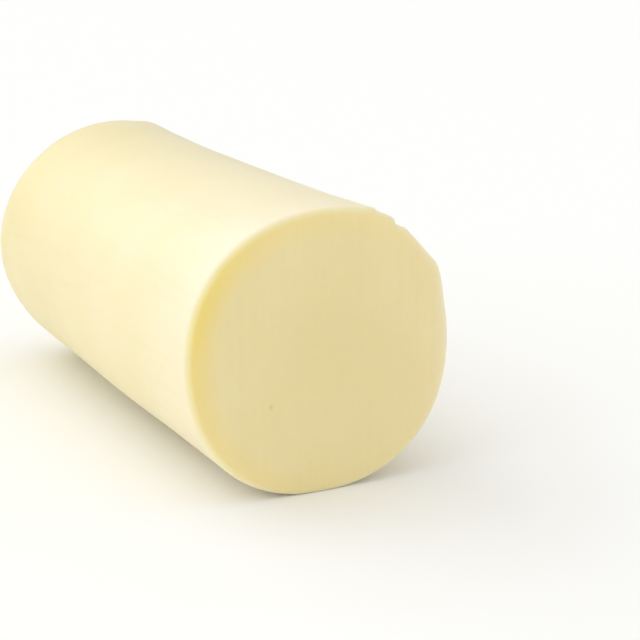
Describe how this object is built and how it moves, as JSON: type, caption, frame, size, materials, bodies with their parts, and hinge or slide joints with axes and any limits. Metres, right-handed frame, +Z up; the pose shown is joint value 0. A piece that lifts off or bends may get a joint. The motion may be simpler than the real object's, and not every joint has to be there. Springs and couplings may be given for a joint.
{
  "type": "provolone cheese",
  "caption": "Log of pale provolone lying on its side: smooth cream skin, round closed end, and a flat cut face with a yellow rim.",
  "frame": {"origin": "centre of the bounding box's underside, on the small flat that the log rests on", "axes": "+Y along the log, from its cut face to its round end; +Z up; +X to the right of someone who faces the cut"},
  "size_m": [0.1148, 0.248, 0.113],
  "materials": {
    "cheese": "satin cheese skin, smooth moist cut face"
  },
  "bodies": {
    "root": {"cheese_log": "cheese"}
  },
  "joints": []
}
